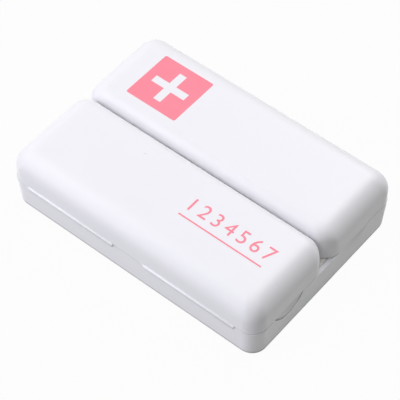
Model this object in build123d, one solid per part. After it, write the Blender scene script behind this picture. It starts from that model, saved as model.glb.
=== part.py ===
from build123d import *
import os
from math import atan, degrees, pi, radians, sin, sqrt, tan

# Folding weekly pill box. The base carries two wings of the same depth, one in front and one
# behind, which swing outwards on thin hinge webs along the long sides. A cell tray sits in
# the base and in each wing, and seven lids close the cells. X runs along the long side,
# Y from front to back and Z up. The origin is on the table, under the middle of the box.

os.makedirs("parts", exist_ok=True)

# Overall form
box_length = 105.0
box_width = 75.0
box_height = 25.0
seam_height = 12.5        # middle of the seam, at half height so that opened wings lie flat
seam_gap = 0.3
wing_gap = 0.85           # between the two closed wings
wing_corner = 6.0
base_corner = 5.5
side_round = 7.8          # top edge along the hinge side of a wing
end_round = 7.5           # top edges at the ends of a wing
groove_round = 4.5        # top edge beside the other wing
corner_shrink = 0.62      # how fast a corner tightens where the top edges turn in
least_corner = 0.6
foot_round = 1.0
end_draft = 2.0           # degrees, end walls of the base
side_draft = 3.8          # degrees, hinge sides of the base
wing_draft = 0.6          # degrees
round_steps = 8
overrun = 1.0             # how far a cutting or joining block runs past a face

# Mouldings
wall = 1.5
floor_thickness = 1.2
tray_fit = 0.15           # between a tray and its shell
flange_thickness = 1.2
cup_wall = 1.0
cup_floor = 0.8
cell_corner = 4.0
cell_ledge = 0.9          # what a closed lid rests on
cell_floor_round = 1.4
end_land = 4.25           # flange of a tray at its ends, with the magnets
partition = 2.4           # between two cells of a row
rib_width = 5.2           # rib of the base tray under the groove
wing_land = 2.4           # flange of a wing tray beside the groove
hinge_land = 0.8          # flange outside the lid barrels

# Lids
lid_thickness = 1.0
lid_sink = 0.15           # a closed lid lies this far below the rim
lid_gap = 0.25
lid_corner = 2.0
barrel_radius = 0.8
barrel_gap = 0.15
pin_radius = 0.5
pin_play = 0.06
pin_reach = 0.8           # length of a pin in its hole
pin_end_play = 0.15
plug_height = 0.8
plug_wall = 0.8
tab_width = 12.0
tab_reach = 1.25
tab_thickness = 0.7
tab_corner = 0.75
nail_width = 15.0
nail_reach = 1.7
nail_depth = 1.5

# Hinge webs
web_thickness = 0.35
web_bulge = 0.85          # how far a closed web stands out from the wall
web_near = 6.5            # middle of the box to the near end of a web
web_end_land = 6.5        # end of the box to the far end of a web

# Closing magnets
magnet_radius = 1.5
magnet_length = 1.5
magnet_sink = 0.1
magnet_play = 0.03
magnet_from_middle = 9.0
boss_wall = 0.6
boss_floor = 0.6

# Thumb scoops in the end walls of the base, deepest at the rim
scoop_width = 16.5
scoop_height = 4.4
scoop_recess = 0.9
front_scoop_from_side = 18.0
rear_scoop_from_side = 23.0

# Levels and places that follow from the sizes
half_length = box_length / 2
half_width = box_width / 2
base_rim = seam_height - seam_gap / 2
wing_rim = seam_height + seam_gap / 2
tray_inset = wall + tray_fit
recess_end = half_length - tray_inset - end_land
web_far = half_length - web_end_land
scoop_places = (-half_width + front_scoop_from_side, half_width - rear_scoop_from_side)
barrel_y = -(half_width - tray_inset - hinge_land - barrel_radius - barrel_gap)
barrel_drop = lid_sink + barrel_radius
lid_bottom = lid_sink + lid_thickness
trough_drop = barrel_drop + barrel_radius + barrel_gap
base_free_edge = -rib_width / 2
wing_free_edge = -(wing_gap / 2 + tray_inset + wing_land)
base_cell_depth = base_rim - floor_thickness - cup_floor
magnet_x = (recess_end + half_length - tray_inset) / 2


def span(low, high, round_by=0.0):
    """Upright block between two corners, with its four upright edges rounded."""
    size = [b - a for a, b in zip(low, high)]
    middle = [(a + b) / 2 for a, b in zip(low, high)]
    plan = Rectangle(size[0], size[1])
    if round_by > 0:
        plan = RectangleRounded(size[0], size[1], round_by)
    return Pos(middle[0], middle[1], low[2]) * extrude(plan, size[2])


def rod(radius, low_x, high_x, y, z):
    """Round bar along X."""
    bar = Cylinder(radius, high_x - low_x, rotation=(0, 90, 0))
    return Pos((low_x + high_x) / 2, y, z) * bar


def roundover(radius, below_top):
    """How far a rounded top edge has moved in, at a distance below the top."""
    if below_top >= radius:
        return 0.0
    return radius - sqrt(radius**2 - (radius - below_top) ** 2)


def wing_section(height, inset):
    """Plan outline of the front wing at one height, moved inwards by inset."""
    below_top = box_height - inset - height
    lean = inset + tan(radians(wing_draft)) * (height - wing_rim)
    turned_in = roundover(end_round - inset, below_top)
    end = half_length - lean - turned_in
    front = -half_width + lean + roundover(side_round - inset, below_top)
    back = -wing_gap / 2 - lean - roundover(groove_round - inset, below_top)
    corner = max(wing_corner - inset - corner_shrink * turned_in, least_corner)
    plan = RectangleRounded(2 * end, back - front, corner)
    return Pos(0, (front + back) / 2, height) * plan


def wing_form(inset, bottom):
    """Solid body of the front wing, moved inwards by inset: drafted walls under a rounded top."""
    top = box_height - inset
    largest = max(side_round, end_round) - inset
    shoulder = top - largest
    walls = loft([wing_section(bottom, inset), wing_section(shoulder, inset)], ruled=True)
    turns = [pi / 2 * step / round_steps for step in range(round_steps + 1)]
    crown = loft([wing_section(shoulder + largest * sin(turn), inset) for turn in turns])
    return walls + crown


def base_section(height, inset):
    """Plan outline of the base at one height, moved inwards by inset."""
    drop = base_rim - height
    end = half_length - inset - tan(radians(end_draft)) * drop
    side = half_width - inset - tan(radians(side_draft)) * drop
    return Pos(0, 0, height) * RectangleRounded(2 * end, 2 * side, base_corner - inset)


def base_form(inset, bottom):
    """Solid body of the base, moved inwards by inset, from bottom up to the rim."""
    return loft([base_section(bottom, inset), base_section(base_rim, inset)], ruled=True)


def thumb_scoop(y):
    """Scoop for a thumb in the right end wall, as wide as asked at the rim and running out below."""
    radius = ((scoop_width / 2) ** 2 + scoop_recess**2) / (2 * scoop_recess)
    wall_lean = tan(radians(end_draft)) * scoop_height
    tilt = degrees(atan((scoop_recess - wall_lean) / scoop_height))
    bar = Rot(0, -tilt, 0) * Pos(radius, 0, 0) * Cylinder(radius, 3 * scoop_height)
    return Pos(half_length - scoop_recess, y, base_rim) * bar


def base_shell():
    shell = base_form(0, 0)
    underside = shell.faces().sort_by(Axis.Z)[0]
    shell = fillet(underside.edges(), foot_round)
    hollow = base_form(wall, floor_thickness)
    shell -= hollow
    for y in scoop_places:
        for scoop in both_ends(thumb_scoop(y)):
            shell -= scoop
    return shell


def wing_shell():
    """Front wing, a deep shell that is open at the seam."""
    return wing_form(0, wing_rim) - wing_form(wall, wing_rim - overrun)


# Trays and lids are drawn for the front row of the base with the rim at height 0 and the
# cells below it. They are moved and mirrored to the other places.

def cell(low_x, high_x, free_edge, depth):
    """Space for the pills of one cell."""
    low = (low_x + cell_ledge, barrel_y, -depth)
    high = (high_x - cell_ledge, free_edge - cell_ledge, 0)
    space = span(low, high, cell_corner)
    floor = space.faces().sort_by(Axis.Z)[0]
    return fillet(floor.edges(), cell_floor_round)


def lid_seat(low_x, high_x, free_edge):
    """What a lid takes out of a tray: its recess, barrel trough, pin holes and nail scoop."""
    hinge_edge = barrel_y - barrel_radius - barrel_gap
    seat = span((low_x, hinge_edge, -lid_bottom), (high_x, free_edge, overrun))
    trough_end = barrel_y + barrel_radius + barrel_gap
    seat += span((low_x, hinge_edge, -trough_drop), (high_x, trough_end, overrun))
    reach = pin_reach + lid_gap + pin_end_play
    hole = rod(pin_radius + pin_play, low_x - reach, high_x + reach, barrel_y, -barrel_drop)
    middle = (low_x + high_x) / 2
    scoop = span(
        (middle - nail_width / 2, free_edge - overrun, -nail_depth),
        (middle + nail_width / 2, free_edge + nail_reach, overrun),
    )
    return seat + hole + scoop


def lid(low_x, high_x, free_edge):
    """One lid: plate with a round hinge edge, two pins, a plug rim below and a nail tab."""
    left = low_x + lid_gap
    right = high_x - lid_gap
    front = free_edge - lid_gap
    plate = span((left, barrel_y, -lid_bottom), (right, front, -lid_sink))
    free_corners = plate.edges().filter_by(Axis.Z).sort_by(Axis.Y)[-2:]
    plate = fillet(free_corners, lid_corner)
    barrel = rod(barrel_radius, left, right, barrel_y, -barrel_drop)
    reach = lid_gap + pin_reach
    pins = rod(pin_radius, left - reach, right + reach, barrel_y, -barrel_drop)
    inner = cell_ledge + lid_gap
    plug_start = barrel_y + barrel_radius + barrel_gap + lid_gap
    low = (low_x + inner, plug_start, -lid_bottom - plug_height)
    high = (high_x - inner, free_edge - inner, -lid_bottom)
    plug = span(low, high, cell_corner - lid_gap)
    hollow_low = (low[0] + plug_wall, low[1] + plug_wall, low[2])
    hollow_high = (high[0] - plug_wall, high[1] - plug_wall, high[2])
    plug -= span(hollow_low, hollow_high, cell_corner - lid_gap - plug_wall)
    middle = (low_x + high_x) / 2
    tab = span(
        (middle - tab_width / 2, front - overrun, -lid_sink - tab_thickness),
        (middle + tab_width / 2, front + tab_reach, -lid_sink),
    )
    tips = tab.edges().filter_by(Axis.Z).sort_by(Axis.Y)[-2:]
    tab = fillet(tips, tab_corner)
    return plate + barrel + pins + plug + tab


def magnet(y, length=magnet_length, radius=magnet_radius, drop=magnet_sink):
    """Right-hand closing magnet, or the hole or boss around it, by the sizes given."""
    return Pos(magnet_x, y, -drop - length / 2) * Cylinder(radius, length)


def both_ends(solid):
    return [solid, mirror(solid, about=Plane.YZ)]


def magnet_boss(y):
    length = magnet_sink + magnet_length + boss_floor
    return magnet(y, length, magnet_radius + boss_wall, 0)


def magnet_hole(y):
    return magnet(y, magnet_sink + magnet_length, magnet_radius + magnet_play, 0)


half_row = (partition / 2, recess_end)
left_half_row = (-recess_end, -partition / 2)
full_row = (-recess_end, recess_end)


def to_base(solid):
    return Pos(0, 0, base_rim) * solid


def to_wing(solid):
    return Pos(0, 0, wing_rim) * mirror(solid, about=Plane.XY)


def to_rear(solid):
    return mirror(solid, about=Plane.XZ)


def base_tray():
    """Tray of the base: two cells under the front wing and a long one under the rear wing."""
    body = base_form(tray_inset, floor_thickness)
    cups = span(
        (-recess_end - cup_wall, -half_width, floor_thickness),
        (recess_end + cup_wall, half_width, base_rim),
    )
    flange = span(
        (-half_length, -half_width, base_rim - flange_thickness),
        (half_length, half_width, base_rim),
    )
    filled = cups + flange
    places = (-magnet_from_middle, magnet_from_middle)
    for y in places:
        for boss in both_ends(magnet_boss(y)):
            filled += to_base(boss)
    tray = body & filled
    for low_x, high_x in (half_row, left_half_row):
        tray -= to_base(cell(low_x, high_x, base_free_edge, base_cell_depth))
        tray -= to_base(lid_seat(low_x, high_x, base_free_edge))
    tray -= to_rear(to_base(cell(*full_row, base_free_edge, base_cell_depth)))
    tray -= to_rear(to_base(lid_seat(*full_row, base_free_edge)))
    for y in places:
        for hole in both_ends(magnet_hole(y)):
            tray -= to_base(hole)
    return tray


def wing_tray():
    """Tray of the front wing, with two deep cells that open at the seam."""
    body = wing_form(tray_inset, wing_rim)
    cups = span(
        (-recess_end - cup_wall, -half_width, wing_rim),
        (recess_end + cup_wall, 0, box_height),
    )
    flange = span(
        (-half_length, -half_width, wing_rim),
        (half_length, 0, wing_rim + flange_thickness),
    )
    filled = cups + flange
    for boss in both_ends(magnet_boss(-magnet_from_middle)):
        filled += to_wing(boss)
    tray = body & filled
    inner_form = wing_form(tray_inset + cup_wall, wing_rim - overrun)
    for low_x, high_x in (half_row, left_half_row):
        space = to_wing(cell(low_x, high_x, wing_free_edge, box_height))
        tray -= space & inner_form
        tray -= to_wing(lid_seat(low_x, high_x, wing_free_edge))
    for hole in both_ends(magnet_hole(-magnet_from_middle)):
        tray -= to_wing(hole)
    return tray


def hinge_web():
    """Right-hand web of the front hinge: a thin half tube that spans the seam outside the walls."""
    ring = Circle(web_bulge) - Circle(web_bulge - web_thickness)
    ring &= Pos(-web_bulge, 0) * Rectangle(2 * web_bulge, 2 * web_bulge)
    section = Plane.YZ * Pos(-half_width, seam_height) * ring
    return Pos(web_near, 0, 0) * extrude(section, web_far - web_near, dir=(1, 0, 0))


def save(name, solid):
    export_step(solid, f"parts/{name}.step")


save("base_shell", base_shell())
save("base_tray", base_tray())
base_magnets = []
for place in (-magnet_from_middle, magnet_from_middle):
    base_magnets += [to_base(disc) for disc in both_ends(magnet(place))]
save("base_magnets", Compound(children=base_magnets))

front_shell = wing_shell()
front_tray = wing_tray()
front_magnets = [to_wing(disc) for disc in both_ends(magnet(-magnet_from_middle))]
save("front_wing_shell", front_shell)
save("front_wing_tray", front_tray)
save("front_wing_magnets", Compound(children=front_magnets))
save("rear_wing_shell", to_rear(front_shell))
save("rear_wing_tray", to_rear(front_tray))
save("rear_wing_magnets", Compound(children=[to_rear(disc) for disc in front_magnets]))

right_web, left_web = both_ends(hinge_web())
save("front_hinge_web_right", right_web)
save("front_hinge_web_left", left_web)
save("rear_hinge_web_right", to_rear(right_web))
save("rear_hinge_web_left", to_rear(left_web))

save("base_lid_front_left", to_base(lid(*left_half_row, base_free_edge)))
save("base_lid_front_right", to_base(lid(*half_row, base_free_edge)))
save("base_lid_rear", to_rear(to_base(lid(*full_row, base_free_edge))))
for side, row in (("left", left_half_row), ("right", half_row)):
    wing_lid = to_wing(lid(*row, wing_free_edge))
    save(f"front_wing_lid_{side}", wing_lid)
    save(f"rear_wing_lid_{side}", to_rear(wing_lid))
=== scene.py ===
import bpy
import math
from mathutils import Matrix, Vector
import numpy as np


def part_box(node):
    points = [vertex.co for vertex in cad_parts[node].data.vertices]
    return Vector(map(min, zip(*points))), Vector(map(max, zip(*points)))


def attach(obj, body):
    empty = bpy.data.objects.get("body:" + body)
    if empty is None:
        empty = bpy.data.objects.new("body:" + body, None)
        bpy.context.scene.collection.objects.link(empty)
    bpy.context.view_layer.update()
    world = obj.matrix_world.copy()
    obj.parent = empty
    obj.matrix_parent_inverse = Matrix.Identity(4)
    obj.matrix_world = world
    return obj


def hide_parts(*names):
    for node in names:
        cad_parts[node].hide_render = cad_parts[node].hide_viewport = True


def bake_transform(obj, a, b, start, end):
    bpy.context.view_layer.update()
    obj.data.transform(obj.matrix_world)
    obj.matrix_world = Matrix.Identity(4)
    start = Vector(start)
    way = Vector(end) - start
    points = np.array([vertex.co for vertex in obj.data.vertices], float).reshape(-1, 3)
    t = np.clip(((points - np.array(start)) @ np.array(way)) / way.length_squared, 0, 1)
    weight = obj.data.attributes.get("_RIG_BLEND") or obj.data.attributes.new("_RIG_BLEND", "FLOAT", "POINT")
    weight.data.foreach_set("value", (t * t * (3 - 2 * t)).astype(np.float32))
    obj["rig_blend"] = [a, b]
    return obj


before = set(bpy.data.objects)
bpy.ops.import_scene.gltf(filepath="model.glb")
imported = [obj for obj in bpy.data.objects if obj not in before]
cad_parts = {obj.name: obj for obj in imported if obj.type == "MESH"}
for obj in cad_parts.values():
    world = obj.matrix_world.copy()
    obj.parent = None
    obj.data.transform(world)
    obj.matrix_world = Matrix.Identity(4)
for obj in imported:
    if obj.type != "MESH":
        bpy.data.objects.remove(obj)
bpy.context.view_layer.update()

mm = 0.001
hair = 0.001 * mm  # shorter than any edge of the box
print("stage: frame loaded")


class Value:  # a socket that can be used in sums
    def __init__(self, finish, socket):
        self.finish = finish
        self.socket = socket

    def calc(self, operation, first, second):
        return self.finish.node("ShaderNodeMath", {"operation": operation}, [first, second])

    def __add__(self, other):
        return self.calc("ADD", self, other)

    def __radd__(self, other):
        return self.calc("ADD", other, self)

    def __mul__(self, other):
        return self.calc("MULTIPLY", self, other)

    def __rmul__(self, other):
        return self.calc("MULTIPLY", other, self)


class Finish:  # a material or a world, and the nodes that make it
    def __init__(self, owner):
        self.owner = owner
        owner.use_nodes = True
        self.tree = owner.node_tree
        self.tree.nodes.clear()

    def node(self, kind, settings=None, inputs=None, out=0):
        made = self.tree.nodes.new(kind)
        for name, setting in (settings or {}).items():
            setattr(made, name, setting)
        given = inputs or {}
        pairs = given.items() if isinstance(given, dict) else enumerate(given)
        for name, value in pairs:
            if isinstance(value, Value):
                self.tree.links.new(value.socket, made.inputs[name])
            else:
                made.inputs[name].default_value = value
        return Value(self, made.outputs[out]) if made.outputs else None

    def place(self):
        return self.node("ShaderNodeTexCoord", out="Object")

    def noise(self, scale, detail, roughness=0.5):
        spots = {"Vector": self.place(), "Scale": scale, "Detail": detail, "Roughness": roughness}
        return self.node("ShaderNodeTexNoise", inputs=spots)

    def blend(self, factor, first, second):  # mixes two colours
        mix = {0: factor, 6: first, 7: second}
        return self.node("ShaderNodeMix", {"data_type": "RGBA"}, mix, 2)

    def bump(self, height, look):
        relief = {"Height": height, "Strength": look["grainStrength"], "Distance": look["grainHeight"]}
        return self.node("ShaderNodeBump", inputs=relief, out="Normal")

    def surface(self, inputs):
        shader = self.node("ShaderNodeBsdfPrincipled", inputs=inputs)
        self.node("ShaderNodeOutputMaterial", inputs={"Surface": shader})
        return self.owner


def colour(red, green, blue):
    return (red, green, blue, 1.0)


def startMaterial(name):
    return Finish(bpy.data.materials.new(name))


# Shell plastic: satin white, with the fine grain of a spark-eroded mould, and a painted contact shadow
# darkening the foot
shellLook = {
    "light": colour(0.865, 0.86, 0.90),
    "dark": colour(0.85, 0.845, 0.885),
    "clouds": {"scale": 45.0, "detail": 4.0},
    "smears": {"scale": 135.0, "detail": 5.0, "roughness": 0.65},
    "grain": {"scale": 2600.0, "detail": 2.0, "roughness": 0.6},
    "grainStrength": 0.35,
    "grainHeight": 0.012 * mm,
    "roughLow": 0.36,
    "roughSpan": 0.08,
    "reflection": 1.49,
    "paintedShadeTop": 2.0 * mm,  # painted contact shadow: the foot edge is darker from here down
    "paintedShadeDeep": 1.1 * mm,
    # painted contact shadow: the colour that the foot edge darkens to
    "paintedFootShadow": colour(0.5, 0.495, 0.52),
}


def makeShellPlastic(name):
    finish = startMaterial(name)
    clouds = finish.noise(**shellLook["clouds"])
    grain = finish.noise(**shellLook["grain"])
    smears = finish.noise(**shellLook["smears"])
    tint = finish.blend(clouds, shellLook["dark"], shellLook["light"])
    height = finish.node("ShaderNodeSeparateXYZ", inputs=[finish.place()], out="Z")
    # painted contact shadow: the base colour darkens towards the foot, below a set height
    paintedShadowMask = finish.node("ShaderNodeMapRange", inputs={
        "Value": height,
        "From Min": shellLook["paintedShadeTop"],
        "From Max": shellLook["paintedShadeDeep"],
    })
    return finish.surface({
        "Base Color": finish.blend(paintedShadowMask, tint, shellLook["paintedFootShadow"]),
        "Roughness": shellLook["roughLow"] + smears * shellLook["roughSpan"],
        "IOR": shellLook["reflection"],
        "Normal": finish.bump(grain, shellLook),
    })


# Tray plastic: natural polypropylene, a little warm
trayLook = {
    "light": colour(0.90, 0.89, 0.855),
    "dark": colour(0.87, 0.855, 0.82),
    "through": 0.0,
    "clouds": {"scale": 60.0, "detail": 4.0},
    "grain": {"scale": 1800.0, "detail": 2.0},
    "grainStrength": 0.3,
    "grainHeight": 0.01 * mm,
    "roughLow": 0.42,
    "roughSpan": 0.1,
    "reflection": 1.49,
}

# Lid plastic: frosted, lets light through
lidLook = {
    "light": colour(0.90, 0.915, 0.93),
    "dark": colour(0.87, 0.89, 0.91),
    "through": 0.65,
    "clouds": {"scale": 80.0, "detail": 4.0},
    "grain": {"scale": 2200.0, "detail": 2.0},
    "grainStrength": 0.3,
    "grainHeight": 0.01 * mm,
    "roughLow": 0.38,
    "roughSpan": 0.12,
    "reflection": 1.49,
}


def makeInnerPlastic(name, look):
    finish = startMaterial(name)
    clouds = finish.noise(**look["clouds"])
    grain = finish.noise(**look["grain"])
    return finish.surface({
        "Base Color": finish.blend(clouds, look["dark"], look["light"]),
        "Roughness": look["roughLow"] + clouds * look["roughSpan"],
        "IOR": look["reflection"],
        "Transmission Weight": look["through"],
        "Normal": finish.bump(grain, look),
    })


# Nickel plating of the magnets, lightly scuffed
nickelLook = {
    "metal": colour(0.72, 0.71, 0.69),
    "scuffs": {"scale": 1500.0, "detail": 4.0},
    "grainStrength": 0.2,
    "grainHeight": 0.005 * mm,
    "roughLow": 0.22,
    "roughSpan": 0.2,
}


def makeNickel(name):
    finish = startMaterial(name)
    scuffs = finish.noise(**nickelLook["scuffs"])
    return finish.surface({
        "Base Color": nickelLook["metal"],
        "Metallic": 1.0,
        "Roughness": nickelLook["roughLow"] + scuffs * nickelLook["roughSpan"],
        "Normal": finish.bump(scuffs, nickelLook),
    })


# Print ink: pink, slightly uneven
inkLook = {
    "light": colour(0.93, 0.262, 0.335),
    "dark": colour(0.90, 0.225, 0.298),
    "clouds": {"scale": 120.0, "detail": 4.0},
    "speckle": {"scale": 3000.0, "detail": 3.0},
    "grainStrength": 0.25,
    "grainHeight": 0.006 * mm,
    "roughLow": 0.40,
    "roughSpan": 0.1,
}


def makePrintInk(name):
    finish = startMaterial(name)
    clouds = finish.noise(**inkLook["clouds"])
    speckle = finish.noise(**inkLook["speckle"])
    return finish.surface({
        "Base Color": finish.blend(clouds, inkLook["dark"], inkLook["light"]),
        "Roughness": inkLook["roughLow"] + speckle * inkLook["roughSpan"],
        "Normal": finish.bump(speckle, inkLook),
    })


shellPlastic = makeShellPlastic("shellPlastic")
trayPlastic = makeInnerPlastic("trayPlastic", trayLook)
lidPlastic = makeInnerPlastic("lidPlastic", lidLook)
nickel = makeNickel("nickel")
printInk = makePrintInk("printInk")
print("stage: materials made")


def dress(piece, material):
    piece.data.materials.clear()
    piece.data.materials.append(material)


for nodeName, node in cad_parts.items():
    if "lid" in nodeName:
        dress(node, lidPlastic)
    elif "tray" in nodeName:
        dress(node, trayPlastic)
    elif "magnets" in nodeName:
        dress(node, nickel)
    else:
        dress(node, shellPlastic)


# Tools for all pieces
edgeCare = {
    "rimSteps": 2,
    "rimAngle": math.radians(50),
    "smoothAngle": math.radians(35),
}


def clearSelection():
    if bpy.context.object and bpy.context.object.mode != "OBJECT":
        bpy.ops.object.mode_set(mode="OBJECT")
    bpy.ops.object.select_all(action="DESELECT")


def takeUp(piece):  # makes the piece the only selected and active one
    clearSelection()
    piece.select_set(True)
    bpy.context.view_layer.objects.active = piece


def settle(piece):  # place, turn and size go into the mesh
    takeUp(piece)
    bpy.ops.object.transform_apply(location=True, rotation=True, scale=True)


def applyAll(piece):
    takeUp(piece)
    for modifier in list(piece.modifiers):
        bpy.ops.object.modifier_apply(modifier=modifier.name)


def addBlock(name, low, high):
    clearSelection()
    middle = [(a + b) / 2 for a, b in zip(low, high)]
    bpy.ops.mesh.primitive_cube_add(size=1.0, location=middle)
    block = bpy.context.object
    block.name = name
    block.scale = [b - a for a, b in zip(low, high)]
    settle(block)
    return block


def addPatch(middle, lengthX, lengthY):  # flat and level
    clearSelection()
    bpy.ops.mesh.primitive_plane_add(size=1.0, location=middle)
    patch = bpy.context.object
    patch.scale = (lengthX, lengthY, 1)
    settle(patch)
    return patch


def pickFaces(piece, test):
    takeUp(piece)
    bpy.ops.object.mode_set(mode="EDIT")
    bpy.ops.mesh.select_mode(type="FACE")
    bpy.ops.mesh.select_all(action="DESELECT")
    bpy.ops.object.mode_set(mode="OBJECT")
    for face in piece.data.polygons:
        face.select = test(face)
    bpy.ops.object.mode_set(mode="EDIT")


def edgeMiddle(piece, edge):
    ends = [piece.data.vertices[index].co for index in edge.vertices]
    return (ends[0] + ends[1]) / 2


def roundEdges(piece, radiusOf, steps):  # rounds each edge by its own radius
    radii = [radiusOf(edgeMiddle(piece, edge)) for edge in piece.data.edges]
    made = piece.data.attributes
    weights = made.get("bevel_weight_edge") or made.new("bevel_weight_edge", "FLOAT", "EDGE")
    for place, radius in enumerate(radii):
        weights.data[place].value = radius / max(radii)
    rounding = piece.modifiers.new("rounding", "BEVEL")
    rounding.limit_method = "WEIGHT"
    rounding.width = max(radii)
    rounding.segments = steps
    rounding.use_clamp_overlap = False


def hollow(piece, thickness):
    walls = piece.modifiers.new("walls", "SOLIDIFY")
    walls.thickness = thickness
    walls.offset = -1
    walls.use_even_offset = True


def softenRims(piece, width):
    soften = piece.modifiers.new("soften", "BEVEL")
    soften.width = width
    soften.segments = edgeCare["rimSteps"]
    soften.limit_method = "ANGLE"
    soften.angle_limit = edgeCare["rimAngle"]


def cutWith(piece, cutter):
    cut = piece.modifiers.new("cut", "BOOLEAN")
    cut.operation = "DIFFERENCE"
    cut.solver = "EXACT"
    cut.object = cutter
    applyAll(piece)
    bpy.data.objects.remove(cutter)


def smoothOut(piece):
    takeUp(piece)
    bpy.ops.object.shade_smooth_by_angle(angle=edgeCare["smoothAngle"])


def evenOut(piece):  # smooth, and large flat faces keep an even shade
    smoothOut(piece)
    even = piece.modifiers.new("even", "WEIGHTED_NORMAL")
    even.keep_sharp = True
    applyAll(piece)


# Wing shells: open at the seam, with a different round on each top edge
wing = {
    "wall": 1.5 * mm,
    "draft": math.tan(math.radians(0.6)),
    "planCorner": 6.0 * mm,
    "cornerShrink": 0.62,  # how fast the corners tighten as the top is reached
    "leastCorner": 0.6 * mm,
    "sideRound": 7.8 * mm,
    "endRound": 7.5 * mm,
    "grooveRound": 4.5 * mm,
    "overhang": 0.1 * mm,  # closes the seam a little
    "turnSteps": 20,
    "cornerSteps": 14,
    "rimSoft": 0.06 * mm,
}


def roundover(radius, below):  # how far a rounded edge has moved in, at a distance below the top
    if below >= radius:
        return 0.0
    return radius - math.sqrt(radius**2 - (radius - below) ** 2)


def addSection(low, high, corner):  # closed line with round corners, level with low.z
    middle = (low + high) / 2
    section = addPatch((middle.x, middle.y, low.z), high.x - low.x, high.y - low.y)
    bpy.ops.object.mode_set(mode="EDIT")
    bpy.ops.mesh.select_all(action="SELECT")
    bpy.ops.mesh.bevel(offset=corner, segments=wing["cornerSteps"], affect="VERTICES")
    bpy.ops.mesh.select_all(action="SELECT")
    bpy.ops.mesh.delete(type="ONLY_FACE")
    bpy.ops.object.mode_set(mode="OBJECT")
    return section


def joinSections(name, sections):  # skin over stacked lines, closed at the top
    topLevel = sections[-1].data.vertices[0].co.z
    clearSelection()
    for section in sections:
        section.select_set(True)
    bpy.context.view_layer.objects.active = sections[0]
    bpy.ops.object.join()
    skin = bpy.context.object
    skin.name = name
    bpy.ops.object.mode_set(mode="EDIT")
    bpy.ops.mesh.select_mode(type="EDGE")
    bpy.ops.mesh.select_all(action="SELECT")
    bpy.ops.mesh.bridge_edge_loops(type="SINGLE")
    bpy.ops.mesh.select_all(action="DESELECT")
    bpy.ops.object.mode_set(mode="OBJECT")
    for edge in skin.data.edges:
        edge.select = edgeMiddle(skin, edge).z > topLevel - hair
    bpy.ops.object.mode_set(mode="EDIT")
    bpy.ops.mesh.edge_face_add()
    bpy.ops.mesh.select_all(action="SELECT")
    bpy.ops.mesh.normals_make_consistent(inside=False)
    bpy.ops.object.mode_set(mode="OBJECT")
    return skin


def wingLevels(low, high):  # straight wall first, then ever closer steps round the top edge
    largest = max(wing["sideRound"], wing["endRound"])
    levels = [low.z - wing["overhang"], high.z - largest]
    for step in range(1, wing["turnSteps"] + 1):
        turn = math.pi / 2 * step / wing["turnSteps"]
        levels.append(high.z - largest + largest * math.sin(turn))
    return levels


def makeWingShell(name, nodeName, body):
    low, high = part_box(nodeName)
    outside = -1 if low.y + high.y < 0 else 1
    sections = []
    for level in wingLevels(low, high):
        below = max(high.z - level, 0.0)
        lean = wing["draft"] * max(level - low.z, 0.0)
        turnedEnd = roundover(wing["endRound"], below)
        moves = {
            outside: roundover(wing["sideRound"], below),
            -outside: roundover(wing["grooveRound"], below),
        }
        corner = max(wing["planCorner"] - wing["cornerShrink"] * turnedEnd, wing["leastCorner"])
        sections.append(addSection(
            Vector((low.x + lean + turnedEnd, low.y + lean + moves[-1], level)),
            Vector((high.x - lean - turnedEnd, high.y - lean - moves[1], level)),
            corner,
        ))
    shell = joinSections(name, sections)
    hollow(shell, wing["wall"])
    softenRims(shell, wing["rimSoft"])
    applyAll(shell)
    evenOut(shell)
    dress(shell, shellPlastic)
    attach(shell, body)
    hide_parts(nodeName)
    return shell


gateMark = {
    "place": Vector((-16.2 * mm, -9.6 * mm, 25 * mm)),
    "radius": 0.5 * mm,
    "depth": 0.12 * mm,
    "sides": 32,
}


def cutGateMark(shell):  # small dimple where the plastic entered the mould
    clearSelection()
    bpy.ops.mesh.primitive_cylinder_add(
        vertices=gateMark["sides"],
        radius=gateMark["radius"],
        depth=2 * gateMark["depth"],
        location=gateMark["place"],
    )
    cutWith(shell, bpy.context.object)


frontShell = makeWingShell("frontWingCover", "front_wing_shell", "front_wing")
cutGateMark(frontShell)
rearShell = makeWingShell("rearWingCover", "rear_wing_shell", "rear_wing")
print("stage: wings made")

# Base shell: drafted box, open at the top, with scoops, slits and fine cuts in its walls
base = {
    "wall": 1.5 * mm,
    "endDraft": math.tan(math.radians(2.0)),
    "sideDraft": math.tan(math.radians(3.8)),
    "planCorner": 5.5 * mm,
    "footRound": 1.0 * mm,
    "cornerSteps": 14,
    "footSteps": 5,
    "rimSoft": 0.05 * mm,
}

# Thumb scoops in the end walls
scoop = {
    "width": 16.5 * mm,
    "height": 4.4 * mm,
    "recess": 0.9 * mm,
    "places": (-19.5 * mm, 14.5 * mm),
    "sides": 256,
}

# Slits round the lower edge of the front scoops
slit = {
    "radius": 8.6 * mm,
    "middleY": -19.9 * mm,
    "middleZ": 16.4 * mm,
    "wide": 0.8 * mm,
    "narrow": 0.6 * mm,
    "depth": 1.3 * mm,
    "barLength": 2 * mm,
}

# Fine cuts below the hinge webs
hingeLine = {
    "near": 6.6 * mm,
    "far": 43.8 * mm,
    "wallY": 37.4 * mm,
    "wallZ": 10.7 * mm,
    "wide": 0.12 * mm,
    "reach": 0.9 * mm,
    "slope": math.radians(58),
}


def addBar(radius, length, middle, turn):  # round bar, turned about Y
    clearSelection()
    bpy.ops.mesh.primitive_cylinder_add(
        vertices=scoop["sides"],
        radius=radius,
        depth=length,
        location=middle,
        rotation=(0, turn, 0),
    )
    return bpy.context.object


def cutScoops(shell, high):  # deepest at the rim, running out below
    radius = ((scoop["width"] / 2) ** 2 + scoop["recess"] ** 2) / (2 * scoop["recess"])
    wallLean = base["endDraft"] * scoop["height"]
    tilt = math.atan((scoop["recess"] - wallLean) / scoop["height"])
    for sideX in (-1, 1):
        for placeY in scoop["places"]:
            middle = Vector((
                sideX * (high.x - scoop["recess"] + radius * math.cos(tilt)),
                placeY,
                high.z + radius * math.sin(tilt),
            ))
            cutWith(shell, addBar(radius, 3 * scoop["height"], middle, -sideX * tilt))


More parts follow.
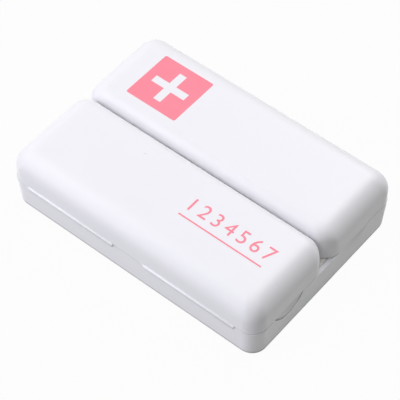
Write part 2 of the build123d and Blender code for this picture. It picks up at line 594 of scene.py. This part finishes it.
def cutSlits(shell, high):  # widest at the outer end
    difference = slit["wide"] - slit["narrow"]
    innerRadius = slit["radius"] - slit["wide"] + difference / 2
    for sideX in (-1, 1):
        middleX = sideX * (high.x - slit["depth"] + slit["barLength"] / 2)
        middle = Vector((middleX, slit["middleY"], slit["middleZ"]))
        ring = addBar(slit["radius"], slit["barLength"], middle, math.pi / 2)
        middle.y += difference / 2
        cutWith(ring, addBar(innerRadius, 2 * slit["barLength"], middle, math.pi / 2))
        cutWith(shell, ring)


def cutHingeLines(shell):  # thin blades, sloping down into the wall
    reach = hingeLine["reach"]
    half = hingeLine["wide"] / 2
    for sideY in (-1, 1):
        for sideX in (-1, 1):
            ends = sorted((sideX * hingeLine["near"], sideX * hingeLine["far"]))
            blade = addBlock("blade", (ends[0], -reach, -half), (ends[1], reach, half))
            blade.rotation_euler.x = sideY * hingeLine["slope"]
            blade.location = (0, sideY * hingeLine["wallY"], hingeLine["wallZ"])
            settle(blade)
            cutWith(shell, blade)


def makeBaseShell():
    low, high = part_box("base_shell")
    shell = addBlock("baseTub", low, high)
    drop = high.z - low.z
    for corner in shell.data.vertices:
        if corner.co.z < high.z - mm:
            corner.co.x -= math.copysign(base["endDraft"] * drop, corner.co.x)
            corner.co.y -= math.copysign(base["sideDraft"] * drop, corner.co.y)
    pickFaces(shell, lambda face: face.normal.z > 0.9)
    bpy.ops.mesh.delete(type="FACE")
    bpy.ops.object.mode_set(mode="OBJECT")

    def cornerRadius(middle):
        upright = low.z + mm < middle.z < high.z - mm
        return base["planCorner"] if upright else 0.0

    def footRadius(middle):
        return base["footRound"] if middle.z < low.z + hair else 0.0

    roundEdges(shell, cornerRadius, base["cornerSteps"])
    applyAll(shell)
    roundEdges(shell, footRadius, base["footSteps"])
    hollow(shell, base["wall"])
    applyAll(shell)
    cutScoops(shell, high)
    cutSlits(shell, high)
    cutHingeLines(shell)
    softenRims(shell, base["rimSoft"])
    applyAll(shell)
    evenOut(shell)
    dress(shell, shellPlastic)
    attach(shell, "base")
    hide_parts("base_shell")


makeBaseShell()
print("stage: base made")

# Hinge webs: thin half tubes that join base and wing outside the wall
web = {
    "thickness": 0.35 * mm,
    "radius": 0.62 * mm,
    "sides": 56,
    "near": 6.5 * mm,
    "far": 43.9 * mm,
    "wallY": 37.5 * mm,
    "held": 0.1 * mm,  # strip along each long edge that doesn't bend
    "rimSoft": 0.08 * mm,
}


def makeWeb(nodeName, body):
    low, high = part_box(nodeName)
    radius = web["radius"]
    outside = -1 if low.y < 0 else 1
    wallY = high.y if outside < 0 else low.y
    hand = -1 if low.x < 0 else 1
    clearSelection()
    bpy.ops.mesh.primitive_cylinder_add(
        vertices=web["sides"],
        radius=radius,
        depth=web["far"] - web["near"],
        end_fill_type="NOTHING",
        location=(hand * (web["far"] + web["near"]) / 2, wallY, low.z + radius),
        rotation=(0, math.pi / 2, 0),
    )
    strip = bpy.context.object
    strip.name = nodeName.replace("_hinge_", "Hinge_")
    settle(strip)
    bpy.ops.object.mode_set(mode="EDIT")
    bpy.ops.mesh.select_all(action="SELECT")
    bpy.ops.mesh.bisect(
        plane_co=(0, wallY, 0),
        plane_no=(0, outside, 0),
        clear_inner=True,
    )
    bpy.ops.object.mode_set(mode="OBJECT")
    hollow(strip, web["thickness"])
    softenRims(strip, web["rimSoft"])
    applyAll(strip)
    smoothOut(strip)
    dress(strip, shellPlastic)
    start = (0, outside * web["wallY"], low.z + web["held"])
    end = (0, outside * web["wallY"], low.z + 2 * radius - web["held"])
    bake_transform(strip, "base", body, start=start, end=end)
    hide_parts(nodeName)


for sideName in ("front", "rear"):
    for handName in ("left", "right"):
        makeWeb(f"{sideName}_hinge_web_{handName}", f"{sideName}_wing")
print("stage: hinge webs made")

# Prints: thin films, drawn above the box and then laid on a wing
prints = {
    "startHeight": 27 * mm,
    "film": 0.03 * mm,
}


def layOn(piece, shell, body):
    wrap = piece.modifiers.new("wrap", "SHRINKWRAP")
    wrap.target = shell
    wrap.wrap_method = "PROJECT"
    wrap.use_project_z = True
    wrap.use_negative_direction = True
    wrap.use_positive_direction = False
    wrap.offset = prints["film"] / 2
    thick = piece.modifiers.new("film", "SOLIDIFY")
    thick.thickness = prints["film"]
    thick.offset = 0
    applyAll(piece)
    dress(piece, printInk)
    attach(piece, body)


# Square with a plus, on the rear wing
square = {
    "lowX": -39.4 * mm,
    "highX": -18.1 * mm,
    "lowY": 7.65 * mm,
    "highY": 28.95 * mm,
    "corner": 0.7 * mm,
    "cornerSteps": 8,
    "strips": 16,  # cut into strips, so that the film can follow the wing's round edge
    "armLength": 14.4 * mm,
    "armWidth": 3.05 * mm,
}


def makeSquare():
    width = square["highX"] - square["lowX"]
    depth = square["highY"] - square["lowY"]
    middle = Vector((
        (square["lowX"] + square["highX"]) / 2,
        (square["lowY"] + square["highY"]) / 2,
        prints["startHeight"],
    ))
    patch = addPatch(middle, width, depth)
    patch.name = "printedSquare"
    bpy.ops.object.mode_set(mode="EDIT")
    bpy.ops.mesh.select_all(action="SELECT")
    bpy.ops.mesh.bevel(offset=square["corner"], segments=square["cornerSteps"], affect="VERTICES")
    for across in (square["armLength"], square["armWidth"]):
        for shift in (-across / 2, across / 2):
            for normal in ((1, 0, 0), (0, 1, 0)):
                cutAt = middle + Vector(normal) * shift
                bpy.ops.mesh.select_all(action="SELECT")
                bpy.ops.mesh.bisect(plane_co=cutAt, plane_no=normal)
    for step in range(1, square["strips"]):
        bpy.ops.mesh.select_all(action="SELECT")
        cutY = square["lowY"] + depth * step / square["strips"]
        bpy.ops.mesh.bisect(plane_co=(0, cutY, 0), plane_no=(0, 1, 0))
    bpy.ops.object.mode_set(mode="OBJECT")

    def inPlus(face):
        offX = abs(face.center.x - middle.x)
        offY = abs(face.center.y - middle.y)
        arm = square["armLength"] / 2
        half = square["armWidth"] / 2
        return (offX < half and offY < arm) or (offY < half and offX < arm)

    pickFaces(patch, inPlus)
    bpy.ops.mesh.delete(type="FACE")
    bpy.ops.object.mode_set(mode="OBJECT")
    layOn(patch, rearShell, "rear_wing")


makeSquare()

# Plain numbers over a thin rule, on the front wing
numbers = {
    "text": "1234567",
    "size": 7.8 * mm,
    "pitch": 5.2 * mm,
    "firstX": 9.3 * mm,
    "middleY": -16.0 * mm,
    "curveSteps": 8,
}
rule = {
    "lowX": 7.9 * mm,
    "highX": 41.5 * mm,
    "middleY": -21.3 * mm,
    "wide": 0.55 * mm,
}


def makeNumber(digit, placeX):
    clearSelection()
    bpy.ops.object.text_add(location=(placeX, numbers["middleY"], prints["startHeight"]))
    letter = bpy.context.object
    letter.data.body = digit
    letter.data.size = numbers["size"]
    letter.data.align_x = "CENTER"
    letter.data.align_y = "CENTER"
    letter.data.resolution_u = numbers["curveSteps"]
    bpy.ops.object.convert(target="MESH")
    letter = bpy.context.object
    letter.name = f"printedNumber{digit}"
    settle(letter)
    layOn(letter, frontShell, "front_wing")


def makeRule():
    middle = ((rule["lowX"] + rule["highX"]) / 2, rule["middleY"], prints["startHeight"])
    line = addPatch(middle, rule["highX"] - rule["lowX"], rule["wide"])
    line.name = "printedRule"
    layOn(line, frontShell, "front_wing")


for place, digit in enumerate(numbers["text"]):
    makeNumber(digit, numbers["firstX"] + place * numbers["pitch"])
makeRule()
print("stage: prints made")

# Floor and world: both look white, and light the box softly
studio = {
    "floorSize": 4.0,
    "floorTone": colour(0.515, 0.52, 0.495),
    "floorWhite": 0.96,  # the rest shows the box's shadow
    "skyTone": colour(0.98, 1, 0.92),
    "skyStrength": 0.15,
    "white": colour(1, 1, 1),
}


def whiteRays(finish):  # 1 for what the camera sees, straight or in a gloss or through a lid
    rays = ("Is Camera Ray", "Is Glossy Ray", "Is Transmission Ray")
    seen = [finish.node("ShaderNodeLightPath", out=ray) for ray in rays]
    return seen[0] + seen[1] + seen[2]


def makeFloor():
    clearSelection()
    bpy.ops.mesh.primitive_plane_add(size=studio["floorSize"], location=(0, 0, 0))
    floor = bpy.context.object
    floor.name = "floor"
    finish = startMaterial("floorPaper")
    share = whiteRays(finish) * studio["floorWhite"]
    paper = finish.node("ShaderNodeBsdfDiffuse", inputs={"Color": studio["floorTone"]})
    white = finish.node("ShaderNodeEmission", inputs={"Color": studio["white"], "Strength": 1.0})
    mixed = finish.node("ShaderNodeMixShader", inputs=[share, paper, white])
    finish.node("ShaderNodeOutputMaterial", inputs={"Surface": mixed})
    dress(floor, finish.owner)


def makeWorld():
    world = bpy.data.worlds.new("studio")
    bpy.context.scene.world = world
    sky = Finish(world)
    dimInputs = {"Color": studio["skyTone"], "Strength": studio["skyStrength"]}
    dim = sky.node("ShaderNodeBackground", inputs=dimInputs)
    white = sky.node("ShaderNodeBackground", inputs={"Color": studio["white"], "Strength": 1.0})
    mixed = sky.node("ShaderNodeMixShader", inputs=[whiteRays(sky), dim, white])
    sky.node("ShaderNodeOutputWorld", inputs={"Surface": mixed})


# Lamps: square panels, aimed at the box
plainTone = (0.985, 0.98, 1.0)
coolTone = (0.87, 0.865, 1.0)
lampAim = Vector((0, 0, 0.01))
lamps = {
    "topLamp": {"place": (0.0, 0.0, 1.0), "side": 0.6, "power": 2.3, "tone": plainTone},
    "rearLamp": {"place": (0.0, 0.7, 0.7), "side": 0.6, "power": 4.9, "tone": plainTone},
    "frontLamp": {"place": (-0.5, -0.5, 0.7), "side": 0.6, "power": 4.1, "tone": plainTone},
    "lowLamp": {"place": (-0.5, -0.83, 0.25), "side": 0.5, "power": 3.4, "tone": coolTone},
}


def addLamp(name, lamp):
    light = bpy.data.lights.new(name, "AREA")
    light.size = lamp["side"]
    light.energy = lamp["power"]
    light.color = lamp["tone"]
    panel = bpy.data.objects.new(name, light)
    bpy.context.scene.collection.objects.link(panel)
    panel.location = lamp["place"]
    panel.rotation_euler = (lampAim - panel.location).to_track_quat("-Z", "Y").to_euler()


# Camera: stands and frames as in the photo
camera = {
    "azimuth": 39.011,
    "elevation": 51.693,
    "roll": 0.2625,
    "distance": 549.8 * mm,
    "focalPixels": 1633.92,
    "framePixels": 400,
    "centreX": 1.128,
    "centreY": -10.535,
    "target": Vector((0, 0, 10 * mm)),
    "sensor": 36.0,
    "nearest": 0.01,
}


def makeCamera():
    turn = math.radians(camera["azimuth"])
    rise = math.radians(camera["elevation"])
    back = Vector((
        math.sin(turn) * math.cos(rise),
        -math.cos(turn) * math.cos(rise),
        math.sin(rise),
    ))
    right = Vector((math.cos(turn), math.sin(turn), 0))
    up = back.cross(right)
    offX = -camera["centreX"] / camera["focalPixels"]
    offY = camera["centreY"] / camera["focalPixels"]
    ahead = -back + right * offX + up * offY
    lens = bpy.data.cameras.new("studioCamera")
    lens.sensor_width = camera["sensor"]
    lens.lens = camera["focalPixels"] / camera["framePixels"] * lens.sensor_width
    lens.clip_start = camera["nearest"]
    view = bpy.data.objects.new("studioCamera", lens)
    bpy.context.scene.collection.objects.link(view)
    view.location = camera["target"] + back * camera["distance"]
    view.rotation_euler = ahead.to_track_quat("-Z", "Y").to_matrix().to_euler()
    view.rotation_euler.rotate_axis("Z", math.radians(camera["roll"]))
    bpy.context.scene.camera = view


makeFloor()
makeWorld()
for lampName, lamp in lamps.items():
    addLamp(lampName, lamp)
makeCamera()
bpy.context.scene.view_settings.view_transform = "Standard"
print("stage: studio made")
